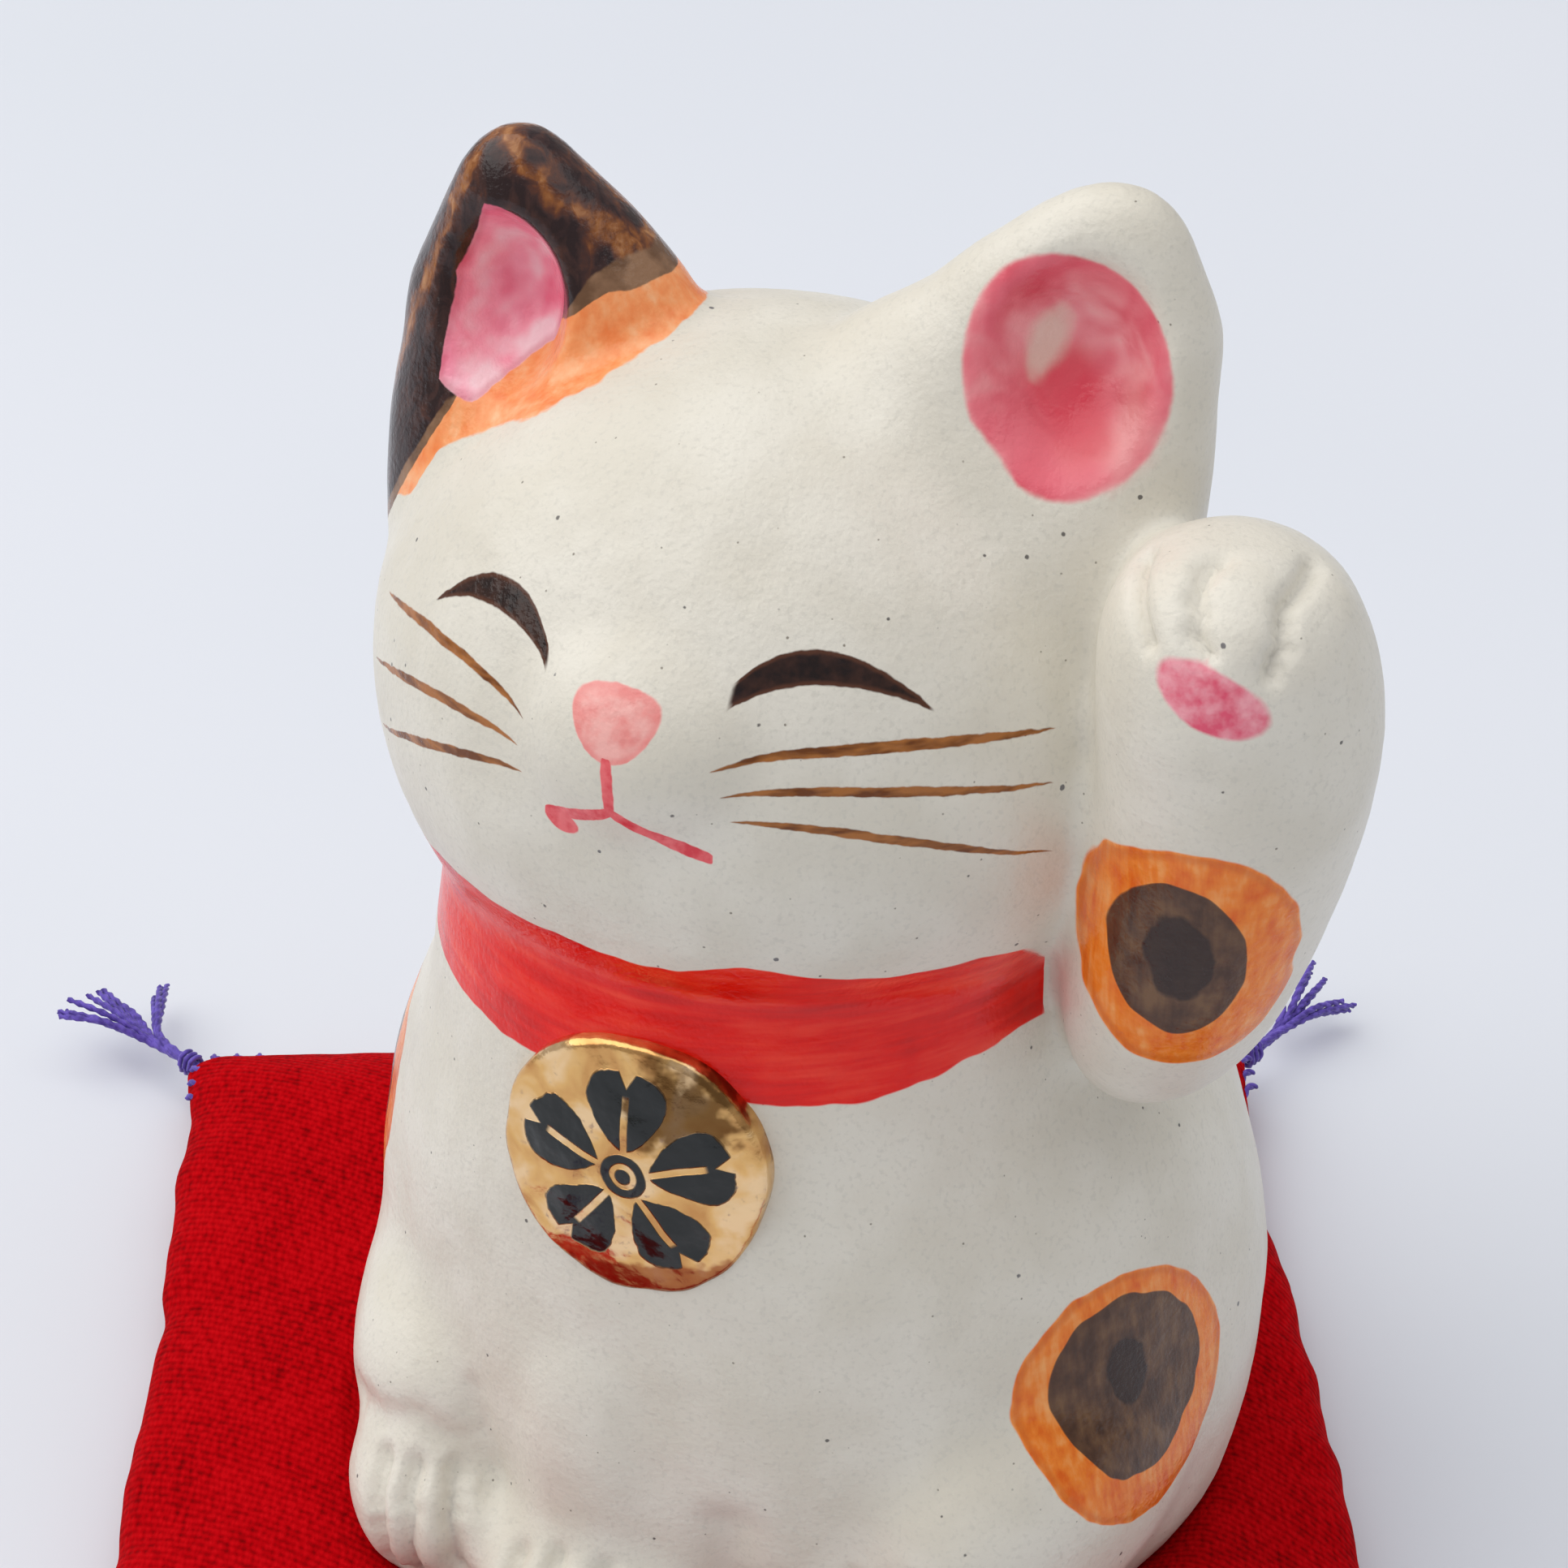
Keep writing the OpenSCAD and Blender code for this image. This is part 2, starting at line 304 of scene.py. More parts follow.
def finish_skin(skin):
    # toes of the hind feet, the front paw and the raised paw
    for x in (-23.4, -19.8, -16.0, 17.8, 21.4, 25.0):
        skin.groove([(x + 1.4, -36, 10), (x + 1.3, -35, 15), (x + 0.8, -33, 19.2), (x, -30.4, 23)], 1.25, 0.85)
    # folds over the right hind foot, along the front leg and beside the front paw
    skin.groove([(-27, -24, 23.4), (-24, -28.6, 25), (-20.2, -29.4, 26.6), (-16.6, -28.8, 25), (-13.6, -28.6, 21)],
                0.7, 1.5)
    skin.groove([(-15.6, -29, 30), (-13.4, -30, 23)], 0.6, 1.3)
    skin.groove([(8.2, -33, 25), (8.8, -34, 19), (9.4, -34, 12)], 1.5, 2.2)
    for x in (-9.8, -5.4, -1.0):
        skin.groove([(x, -40, 9.5), (x, -39, 14), (x, -37, 18), (x, -34, 21)], 1.2, 0.85)
    for route in ([(35.2, -13.4, 110.9), (35.6, -16.2, 109.6), (36.8, -18, 108)],
                  [(40.6, -12, 111), (40.8, -15.8, 109.8), (41.2, -17.8, 108)],
                  [(46, -9.5, 108.8), (46.2, -13.5, 107.8), (46, -15.5, 106.6)]):
        skin.groove(route, -0.15, 1.6)
    for route in ([(32.4, -11.2, 110.2), (33.4, -15, 109.4), (35, -17.6, 107.6)],
                  [(37.8, -12.4, 111.1), (37.4, -15.8, 110.2), (38.4, -17.8, 109), (39.2, -18.4, 108.2)],
                  [(43.4, -8.8, 110.4), (43, -14, 109.8), (43.6, -16.6, 108.2), (43.1, -17.6, 107)]):
        skin.groove(route, 1.15, 0.68)
    normals = skin.normals()
    wave = unevenness(skin.points, 14, 1) * 0.4 + unevenness(skin.points, 5, 2) * 0.1
    wave += unevenness(skin.points, 1.5, 3) * 0.03
    skin.points += normals * wave[:, None]
    skin.points[:, 2] = np.where(skin.points[:, 2] < BASE + 0.25, BASE, skin.points[:, 2])
    skin.write()


def arm_cutter():
    bm = bmesh.new()
    grown = [(level, centre, half + 1.5, front - 1.5, back + 1.5) for level, centre, half, front, back in ARM_ROWS]
    grown[0] = (59.4, *grown[0][1:])
    grown[-1] = (113.6, *grown[-1][1:])
    loft(bm, grown, 2, 40)
    cutter = object_of(bm, "arm_cutter")
    toes = bmesh.new()
    egg(toes, (39.6, -13.4, 107), (10.6, 10.2, 8.6))
    join(cutter, object_of(toes, "toe_cutter"), "UNION")
    return cutter


def tail_cutter():
    bm = bmesh.new()
    bmesh.ops.create_circle(bm, segments=20, radius=6.9, cap_ends=True,
                            matrix=Matrix.Translation((41, 0, 0)) @ Matrix.Rotation(math.pi / 2, 4, "X"))
    bmesh.ops.spin(bm, geom=bm.faces[:] + bm.edges[:] + bm.verts[:], cent=(0, 0, 0), axis=(0, 0, 1),
                   angle=math.radians(84), steps=20)
    place = Matrix.Translation((1, 5.5, 14.9)) @ Matrix.Rotation(math.radians(35), 4, "Z")
    place = place @ Matrix.Diagonal((1, 0.963, 1, 1))
    bmesh.ops.transform(bm, matrix=place, verts=bm.verts)
    return object_of(bm, "tail_cutter")


def join(thing, other, operation):
    """Combines two closed solids, and uses up the other one"""
    change = thing.modifiers.new("join", "BOOLEAN")
    change.solver, change.operation, change.object = "MANIFOLD", operation, other
    done = finished_mesh(thing)
    thing.modifiers.clear()
    thing.data = done
    bpy.data.objects.remove(other)


def drop_slivers(mesh):
    """Cuts every face into triangles, and drops the pairs that lie back to back along a join"""
    bm = bmesh.new()
    bm.from_mesh(mesh)
    bmesh.ops.triangulate(bm, faces=bm.faces[:])
    pairs = {}
    for face in bm.faces:
        pairs.setdefault(frozenset(face.verts), []).append(face)
    back_to_back = [face for pair in pairs.values() if len(pair) > 1 for face in pair]
    bmesh.ops.delete(bm, geom=back_to_back, context="FACES")
    bm.to_mesh(mesh)
    bm.free()


def copy_of(thing, name):
    piece = bpy.data.objects.new(name, thing.data.copy())
    bpy.context.scene.collection.objects.link(piece)
    return piece


def box_cutter(low, high):
    bm = bmesh.new()
    size = [b - a for a, b in zip(low, high)]
    middle = [(a + b) / 2 for a, b in zip(low, high)]
    bmesh.ops.create_cube(bm, size=1, matrix=Matrix.Translation(middle) @ Matrix.Diagonal((*size, 1)))
    return object_of(bm, "box_cutter")


SAME_POINT = 1e-4


def part_clay(clay, skin):
    """Divides the one skin into the pieces it was luted from, each closed, with the whole skin's shading kept"""
    normals = skin.normals()
    tree = KDTree(len(skin.points))
    for i, point in enumerate(skin.points):
        tree.insert(point, i)
    tree.balance()
    arm, tail = copy_of(clay, "glazed_raised_arm"), copy_of(clay, "glazed_tail")
    join(arm, arm_cutter(), "INTERSECT")
    join(tail, tail_cutter(), "INTERSECT")
    join(clay, arm_cutter(), "DIFFERENCE")
    head = copy_of(clay, "glazed_head")
    reach, above = 60, 150
    join(head, box_cutter((-reach, -reach, 0), (reach, reach, NECK)), "DIFFERENCE")
    join(clay, box_cutter((-reach, -reach, NECK), (reach, reach, above)), "DIFFERENCE")
    join(clay, tail_cutter(), "DIFFERENCE")
    clay.name = "glazed_body"
    pieces = {"body": clay, "head": head, "raised_arm": arm, "tail": tail}
    for piece in pieces.values():
        mesh = piece.data
        mesh.materials.clear()
        drop_slivers(mesh)
        lying = Skin(mesh)
        smooth = []
        for point in lying.points:
            found = tree.find_n(point, 3)
            if found[0][2] < SAME_POINT:
                smooth.append(normals[found[0][1]])
            else:
                smooth.append(sum(normals[i] / d for _, i, d in found))
        smooth = np.array(smooth)
        smooth /= np.linalg.norm(smooth, axis=1)[:, None]
        lying.points = (lying.points + np.array(CAT)) * MM
        lying.write()
        mesh.shade_smooth()
        mesh.normals_split_custom_set_from_vertices(smooth)
    return pieces


# ---------------------------------------------------------------- finishes

class Value:
    """A number, vector or colour on its way through a finish"""

    def __init__(self, finish, socket):
        self.finish, self.socket = finish, socket

    def maths(self, operation, *values):
        return self.finish.node("ShaderNodeMath", {"operation": operation}, dict(enumerate(values)))

    def __add__(self, other): return self.maths("ADD", self, other)
    def __radd__(self, other): return self.maths("ADD", other, self)
    def __sub__(self, other): return self.maths("SUBTRACT", self, other)
    def __rsub__(self, other): return self.maths("SUBTRACT", other, self)
    def __mul__(self, other): return self.maths("MULTIPLY", self, other)
    def __rmul__(self, other): return self.maths("MULTIPLY", other, self)
    def __truediv__(self, other): return self.maths("DIVIDE", self, other)
    def __pow__(self, other): return self.maths("POWER", self, other)
    def __lt__(self, other): return self.maths("LESS_THAN", self, other)
    def __gt__(self, other): return self.maths("GREATER_THAN", self, other)
    def least(self, other): return self.maths("MINIMUM", self, other)
    def most(self, other): return self.maths("MAXIMUM", self, other)
    def size(self): return self.maths("ABSOLUTE", self)
    def root(self): return self.maths("SQRT", self)

    def rise(self, low, high):
        """0 at low, 1 at high, with a soft start and end"""
        return self.finish.node("ShaderNodeMapRange", {"interpolation_type": "SMOOTHSTEP"},
                                {0: self, 1: low, 2: high, 3: 0, 4: 1})


class Finish:
    """A material with its shader, and the makers of its nodes"""

    def __init__(self, name):
        self.material = bpy.data.materials.new(name)
        self.material.use_nodes = True
        self.tree = self.material.node_tree
        self.shader = self.tree.nodes["Principled BSDF"]
        place = self.node("ShaderNodeTexCoord", {}, {}, "Object")
        self.place = self.vector("MULTIPLY", place, (1 / MM,) * 3)

    def node(self, kind, settings, values, out=0):
        node = self.tree.nodes.new(kind)
        for key, value in settings.items():
            if key == "stops":
                ramp = node.color_ramp
                while len(ramp.elements) < len(value):
                    ramp.elements.new(0.5)
                for element, (position, colour) in zip(ramp.elements, value):
                    element.position, element.color = position, (*colour, 1)
            else:
                setattr(node, key, value)
        for key, value in values.items():
            self.feed(node.inputs[key], value)
        return Value(self, node.outputs[out])

    def feed(self, socket, value):
        if isinstance(value, Value):
            self.tree.links.new(value.socket, socket)
        elif isinstance(value, tuple) and socket.type == "RGBA" and len(value) == 3:
            socket.default_value = (*value, 1)
        else:
            socket.default_value = value

    def set(self, **values):
        for name, value in values.items():
            self.feed(self.shader.inputs[name.replace("_", " ")], value)

    def vector(self, operation, *values):
        return self.node("ShaderNodeVectorMath", {"operation": operation}, dict(enumerate(values)))

    def split(self, vector):
        node = self.tree.nodes.new("ShaderNodeSeparateXYZ")
        self.feed(node.inputs[0], vector)
        return [Value(self, socket) for socket in node.outputs]

    def join(self, x, y, z):
        return self.node("ShaderNodeCombineXYZ", {}, {0: x, 1: y, 2: z})

    def mix(self, share, a, b, blend="MIX"):
        return self.node("ShaderNodeMix", {"data_type": "RGBA", "blend_type": blend}, {0: share, 6: a, 7: b}, 2)

    def ramp(self, value, *stops):
        return self.node("ShaderNodeValToRGB", {"stops": stops}, {0: value})

    def cloud(self, place, pitch, detail=2, out=0, rough=0.5, wander=0.0):
        """Noise about 0.5 with patches of about the pitch, in millimetres"""
        return self.node("ShaderNodeTexNoise", {}, {"Vector": place, "Scale": 1 / pitch, "Detail": detail,
                                                    "Roughness": rough, "Distortion": wander}, out)

    def stretched(self, place, scales):
        return self.vector("MULTIPLY", place, scales)

    def bump(self, height, depth, strength=1.0, under=None):
        values = {"Height": height, "Distance": depth * MM, "Strength": strength}
        if under is not None:
            values["Normal"] = under
        return self.node("ShaderNodeBump", {}, values)


def srgb(r, g, b):
    return tuple(((c / 255 + 0.055) / 1.055) ** 2.4 if c > 10 else c / 255 / 12.92 for c in (r, g, b))


class Glaze(Finish):
    """White speckled glaze with overglaze painting laid on it coat by coat"""

    def __init__(self, name):
        super().__init__(name)
        self.place = self.vector("SUBTRACT", self.place, tuple(CAT))
        self.x, self.y, self.z = self.split(self.place)
        wander = self.node("ShaderNodeTexNoise", {}, {"Vector": self.place, "Scale": 0.3, "Detail": 1}, 1)
        wander = self.vector("SUBTRACT", wander, (0.5, 0.5, 0.5))
        self.loose = self.vector("ADD", self.place, self.vector("MULTIPLY", wander, (0.9, 0.9, 0.9)))
        fine = self.node("ShaderNodeTexNoise", {}, {"Vector": self.place, "Scale": 0.9, "Detail": 2}, 1)
        fine = self.vector("SUBTRACT", fine, (0.5, 0.5, 0.5))
        self.steady = self.vector("ADD", self.place, self.vector("MULTIPLY", fine, (0.26, 0.26, 0.26)))
        tone = self.cloud(self.place, 9, 3)
        self.colour = self.mix(tone.rise(0.3, 0.7), srgb(223, 217, 202), srgb(232, 227, 214))
        mottle = self.cloud(self.place, 0.45, 2)
        self.colour = self.mix(mottle.rise(0.52, 0.72) * 0.35, self.colour, srgb(204, 200, 188))
        self.streaks = self.cloud(self.stretched(self.place, (1, 1, 0.12)), 0.8, 3)
        self.gloss = 0.36
        self.specks()

    def specks(self):
        for pitch, few, sizes, tint, seed in (
                (2.3, 0.80, (0.10, 0.20), srgb(62, 58, 58), 0.0), (1.3, 0.62, (0.05, 0.10), srgb(126, 118, 104), 7.0),
                (4.2, 0.84, (0.12, 0.24), srgb(84, 82, 90), 31.0)):
            place = self.vector("ADD", self.place, (seed, seed * 0.7, seed * 1.3))
            cells = self.tree.nodes.new("ShaderNodeTexVoronoi")
            self.feed(cells.inputs["Vector"], place)
            cells.inputs["Scale"].default_value = 1 / pitch
            near = Value(self, cells.outputs["Distance"]) * pitch
            chance, spread, _ = self.split(Value(self, cells.outputs["Color"]))
            size = spread * (sizes[1] - sizes[0]) + sizes[0]
            shape = near + (self.cloud(place, 0.25, 1) - 0.5) * 0.12
            mask = (size - shape).rise(-0.04, 0.05) * (chance > few)
            self.colour = self.mix(mask * 0.85, self.colour, tint)

    def coat(self, mask, colour, gloss=None, strength=1.0):
        """Lays one colour where the mask is 1"""
        self.colour = self.mix(mask * strength if strength != 1.0 else mask, self.colour, colour)
        rough = gloss if gloss is not None else 0.22
        self.gloss = mask * (rough - self.gloss) + self.gloss

    def across(self, place, centre, turn):
        """Place seen along a level direction turned from straight ahead: sideways and height from the centre"""
        x, y, z = self.split(place)
        c, s = math.cos(math.radians(turn)), math.sin(math.radians(turn))
        side = x * c + y * s - (centre[0] * c + centre[1] * s)
        depth = y * c - x * s
        return side, z - centre[2], depth

    def oval(self, u, v, centre, half, tilt=0, power=2.0):
        """Distance inside an oval, in millimetres"""
        c, s = math.cos(math.radians(tilt)), math.sin(math.radians(tilt))
        du, dv = u - centre[0], v - centre[1]
        p = (du * c + dv * s) / half[0]
        q = (dv * c - du * s) / half[1]
        if power == 2.0:
            reach = (p * p + q * q).root()
        else:
            reach = (p.size() ** power + q.size() ** power) ** (1 / power)
        return (1 - reach) * min(half)

    def stroke(self, along, across, start, end, bow, width, fade=0.7, edge=0.07):
        """Mask of a brush stroke from start to end, bowed sideways, thinning to its ends"""
        t = (along - start[0]) / (end[0] - start[0])
        inside = (t.rise(-0.004, 0.006)) * ((1 - t).rise(-0.004, 0.006))
        held = t.most(0.001).least(0.999)
        middle = held * (end[1] - start[1]) + start[1] + held * (1 - held) * (4 * bow)
        body = ((held * (1 - held)) * 4) ** fade * width
        return (body - (across - middle).size()).rise(-edge, edge) * inside

    def stroke_bump(self, value, centre, width, height):
        """A soft hump in a line's height"""
        q = (value - centre) / width
        return (self.node("ShaderNodeMath", {"operation": "EXPONENT"}, {0: q * q * -1.0})) * height

    def finish(self):
        grain = self.cloud(self.place, 0.5, 3)
        pits = self.cloud(self.place, 1.6, 2)
        height = grain * 0.5 + pits * 0.5
        rough = self.cloud(self.place, 3, 2) * 0.12 + self.gloss - 0.05
        self.set(Base_Color=self.colour, Roughness=rough, Normal=self.bump(height, 0.14, 1.0))
        self.shader.inputs["IOR"].default_value = 1.5
        self.shader.inputs["Coat Weight"].default_value = 0.04
        self.shader.inputs["Specular IOR Level"].default_value = 0.34
        self.shader.inputs["Coat Roughness"].default_value = 0.12
        return self.material


def paint_collar(glaze):
    x, y, z = glaze.split(glaze.loose)
    front = (0 - y)
    upper = (front.rise(8, 24) * 3.2 + 73.9) + glaze.stroke_bump(x, 8.5, 5.0, 1.9) + x.rise(17, 27) * 1.4
    upper = upper + (2 - x).rise(0, 9) * 0.8
    lower = glaze.stroke_bump(x, 0.5, 9.0, 1.6) + 65.5 + x.rise(15, 27) * 1.7
    band = (upper - z).rise(-0.1, 0.1) * (z - lower).rise(-0.1, 0.1)
    end = (26.0 - x + (z - 71).size() * -0.12).rise(-0.2, 0.25)
    mask = band * end
    streak = glaze.cloud(glaze.stretched(glaze.place, (0.09, 0.09, 1.0)), 0.9, 3)
    pool = glaze.cloud(glaze.place, 6, 2)
    red = glaze.ramp(streak * 0.6 + pool * 0.4,
                     (0.3, srgb(208, 2, 0)), (0.5, srgb(238, 16, 0)), (0.68, srgb(250, 62, 40)))
    glaze.coat(mask, red, 0.2)


def calico(glaze, u, v, where, rim, shade, core):
    """Orange patch with translucent brown and a dark core, each (centre, half, tilt)"""
    wash = glaze.cloud(glaze.place, 2.2, 3)
    fine = glaze.streaks
    d = glaze.oval(u, v, *rim)
    orange = glaze.ramp(wash * 0.5 + fine * 0.5,
                        (0.36, srgb(232, 102, 14)), (0.52, srgb(246, 136, 44)), (0.68, srgb(252, 172, 98)))
    glaze.coat(d.rise(-0.08, 0.1) * where, orange, 0.2)
    glaze.coat(((d - 0.1).rise(-0.05, 0.2) - (d - 0.5).rise(-0.1, 0.4)) * where, srgb(214, 104, 34), 0.2, 0.5)
    d = glaze.oval(u, v, *shade)
    brown = glaze.ramp(wash * 0.6 + fine * 0.4,
                       (0.38, srgb(74, 48, 34)), (0.5, srgb(96, 66, 46)), (0.64, srgb(118, 86, 58)))
    glaze.coat(d.rise(-0.06, 0.08) * where, brown, 0.18)
    glaze.coat((d.rise(-0.05, 0.06) - (d - 0.3).rise(-0.05, 0.5)) * where, srgb(78, 48, 30), 0.18, 0.45)
    if core:
        d = glaze.oval(u, v, *core)
        glaze.coat((d + (wash - 0.5) * 1.4).rise(-0.1, 0.25) * where, srgb(44, 26, 22), 0.14, 0.9)


def paint_face(glaze):
    x, y, z = glaze.split(glaze.steady)
    ahead = (y < -3)
    dark = glaze.ramp(glaze.cloud(glaze.place, 1.2, 2), (0.35, srgb(30, 17, 15)), (0.6, srgb(58, 34, 26)))
    # closed eyes: each lies between an upper and a lower arc that bend differently on their two sides
    for top, arch, floor_, low_arch, ends in (
            ((-11.6, 104.05), (0.080, 0.150), (-12.6, 102.1), (0.058, 0.062), (-18.8, -6.95)),
            ((11.3, 103.8), (0.110, 0.0615), (12.2, 101.7), (0.052, 0.043), (6.95, 19.9))):
        side = x - top[0]
        upper = top[1] - (side * side) * ((side > 0) * (arch[1] - arch[0]) + arch[0])
        side = x - floor_[0]
        lower = floor_[1] - (side * side) * ((side > 0) * (low_arch[1] - low_arch[0]) + low_arch[0])
        within = (x - ends[0]).rise(-0.05, 0.4) * (ends[1] - x).rise(-0.05, 0.4) * ahead
        inside = (upper - z).least(z - lower)
        glaze.coat(inside.rise(-0.07, 0.07) * within, srgb(86, 50, 34), 0.16)
        glaze.coat((inside - 0.16).rise(-0.05, 0.22) * within, dark, 0.12)
    amber = glaze.ramp(glaze.cloud(glaze.stretched(glaze.place, (0.25, 0.25, 1)), 0.7, 2),
                       (0.35, srgb(112, 60, 20)), (0.6, srgb(172, 108, 52)))
    for start, end, bow, width in (
            ((6.7, 96.55), (26.8, 95.6), 1.30, 0.44), ((7.4, 94.4), (27.2, 91.7), 1.20, 0.38),
            ((8.0, 92.35), (27.5, 86.1), 1.55, 0.36), ((-8.3, 96.55), (-25.2, 96.5), 1.75, 0.38),
            ((-8.7, 94.35), (-26.2, 91.0), 1.65, 0.38), ((-8.2, 92.5), (-25.4, 85.9), 1.35, 0.38)):
        glaze.coat(glaze.stroke(x, z, start, end, bow, width) * ahead, amber, 0.2)
    # nose and mouth
    across = (x + 0.4) / ((z - 99.4) * 0.13 + 1.0).most(0.3)
    d = glaze.oval(across, z, (0, 99.05), (3.35, 2.45), 0, 2.3)
    pink = glaze.ramp(glaze.cloud(glaze.place, 1.5, 3), (0.35, srgb(242, 150, 144)), (0.6, srgb(250, 184, 176)))
    glaze.coat(d.rise(-0.07, 0.08) * ahead, pink, 0.24)
    glaze.coat((d.rise(-0.05, 0.1) - (d - 0.25).rise(-0.1, 0.4)) * ahead, srgb(238, 130, 126), 0.24, 0.5)
    coral = glaze.ramp(glaze.cloud(glaze.place, 1.1, 3), (0.35, srgb(226, 62, 74)), (0.62, srgb(244, 112, 116)))
    stem = glaze.stroke(z, x, (97.0, -0.45), (92.4, -0.2), 0.12, 0.46, 0.12)
    right = glaze.stroke(x, z, (-0.55, 93.0), (6.9, 89.15), -0.42, 0.58, 0.16)
    left = glaze.stroke(x, z, (-6.1, 90.3), (0.0, 92.75), -0.3, 0.6, 0.14)
    blob = glaze.oval(x, z, (-4.7, 89.9), (1.45, 0.95), -22).rise(-0.07, 0.07)
    glaze.coat(stem.most(right).most(left).most(blob) * ahead, coral, 0.22)


def paint_ears(glaze):
    x, y, _ = glaze.split(glaze.loose)
    sx, _, sz = glaze.split(glaze.steady)
    wash = glaze.cloud(glaze.place, 2.4, 3)
    # right ear: orange band, translucent brown edge, dark glossy brown with amber where it runs thin
    side = (x < 0)
    drift = (glaze.cloud(glaze.place, 3, 1) - 0.5) * 0.7
    orange = glaze.ramp(wash * 0.6 + glaze.streaks * 0.4, (0.34, srgb(248, 134, 70)), (0.52, srgb(255, 164, 104)),
                        (0.7, srgb(255, 194, 144)))
    level = sz - sx * 0.6 - 119.9 + drift + (-23.6 - sx).rise(0, 3) * 2.8
    glaze.coat(level.rise(-0.12, 0.1) * side, orange, 0.22)
    line = (sx * 0.82 + 128.26).least(sx * 1.8 + 150.8).least(118.2)
    over = sz - line + drift
    fringe = glaze.ramp(wash, (0.4, srgb(112, 80, 56)), (0.6, srgb(150, 114, 86)))
    glaze.coat(over.rise(-0.06, 0.08) * side, fringe, 0.18)
    crest = (sz + sx * 0.75 - 111.55) / 1.25
    outer = (sz - sx * 2.67 - 189.7) / 2.85
    tent = crest.most(outer)
    streak = glaze.cloud(glaze.stretched(glaze.place, (0.8, 0.8, 0.35)), 0.9, 4, wander=0.7)
    thin = (1 - (tent + (wash - 0.5) * 2.2).size() / 1.2).rise(0, 1) * 0.34
    thin = thin + tent.rise(0.4, 2.6) * 0.13 + streak * 0.7
    deep = glaze.ramp(thin, (0.3, srgb(44, 28, 28)), (0.42, srgb(66, 42, 38)), (0.54, srgb(92, 52, 36)),
                      (0.68, srgb(140, 84, 42)), (0.84, srgb(186, 130, 80)))
    edge = over - 0.25 - sx.rise(-16, -13.5) * 1.6 - (-23.2 - sx).rise(0, 1) * 1.0 - (wash - 0.5) * 0.8
    glaze.coat(edge.rise(-0.1, 0.25) * side, deep, 0.14)
    inner = glaze.oval(sx, sz, (-22.2, 116.2), (5.9, 7.1))
    inner = inner.least(sx + 24.95).least((sx + 22.3 + (123.3 - sz) * 0.435) * 0.92).least((over + 1.3) * 0.75)
    ahead = (y < 2.5) * side
    # the pink is made paler towards the bottom of the hollow: painted light on the upturned floor of the hollow, laid
    # over the pink's own cloudy wash
    pale = glaze.cloud(glaze.place, 4.2, 2) + (116.5 - sz) * 0.015
    pink = glaze.ramp(pale, (0.34, srgb(244, 118, 146)), (0.5, srgb(255, 160, 180)), (0.66, srgb(255, 212, 220)))
    glaze.coat(inner.rise(-0.06, 0.09) * ahead, pink, 0.2)
    glaze.coat((inner.rise(-0.05, 0.1) - (inner - 0.25).rise(-0.1, 0.4)) * ahead, srgb(196, 76, 96), 0.2, 0.4)
    # left ear: swirled pink, deepest below its pale heart
    left = (x > 0) * (y < 2.5)
    inner = glaze.oval(sx, sz, (23.4, 118.9), (8.5, 7.2), -58)
    inner = inner.least((sz + sx * 0.9 - 130.7) / 1.35)
    swirl = glaze.cloud(glaze.place, 4.6, 2, wander=0.4)
    pink = glaze.ramp(swirl, (0.3, srgb(222, 76, 94)), (0.44, srgb(236, 110, 124)), (0.58, srgb(246, 150, 156)),
                      (0.72, srgb(248, 188, 186)))
    glaze.coat(inner.rise(-0.2, 0.25) * left, pink, 0.16, 0.96)
    ring = inner.rise(-0.1, 0.5) - (inner - 1.0).rise(-0.3, 1.8)
    glaze.coat(ring * left, srgb(236, 104, 120), 0.16, 0.6)
    light = glaze.oval(sx, sz, (28.2, 115.8), (1.9, 3.2)) + (swirl - 0.5) * 3
    glaze.coat(light.rise(-0.8, 1.2) * left, srgb(244, 176, 172), 0.14, 0.6)
    heart = glaze.oval(sx, sz, (23.2, 115.9), (4.2, 2.9), -38) + (swirl - 0.5) * 4
    glaze.coat(heart.rise(-0.9, 1.6) * left, srgb(226, 66, 84), 0.16, 0.85)
    bare = glaze.oval(sx, sz, (21.1, 119.9), (2.5, 1.2), 78) + (swirl - 0.5) * 3
    glaze.coat(bare.rise(-0.4, 0.9) * left, srgb(232, 204, 188), 0.2, 0.85)


def head_glaze():
    glaze = Glaze("glaze_head")
    paint_collar(glaze)
    paint_face(glaze)
    paint_ears(glaze)
    return glaze.finish()


def body_glaze(name, collar=True):
    """Body and tail: collar, and patches on the left thigh, the right flank and the back, each from its own side"""
    glaze = Glaze(name)
    if collar:
        paint_collar(glaze)
        side, height, depth = glaze.across(glaze.loose, (35, -11.5, 34.4), 57)
        calico(glaze, side, height, (depth < -12), ((0.2, -0.3), (12.6, 10.0), -42), ((0.2, 0.9), (9.2, 7.1), -42),
               ((-0.4, 2.1), (3.5, 2.2), -70))
        side, height, depth = glaze.across(glaze.loose, (-34, -3, 43), -88)
        calico(glaze, side, height, (depth < -12), ((0, 0), (10.6, 11.6), 0), ((-0.3, 0.2), (7.6, 8.8), 10), None)
    side, height, depth = glaze.across(glaze.loose, (10, 40, 40), 165)
    calico(glaze, side, height, (depth < -12), ((0, 0), (12, 10), 20), ((0.5, 0.4), (8.6, 6.8), 20),
           ((1, 0.6), (3.4, 2.4), 20))
    # bare clay of the foot ring
    glaze.coat((BASE + 0.35 - glaze.z).rise(-0.1, 0.1), srgb(206, 188, 164), 0.75)
    return glaze.finish()


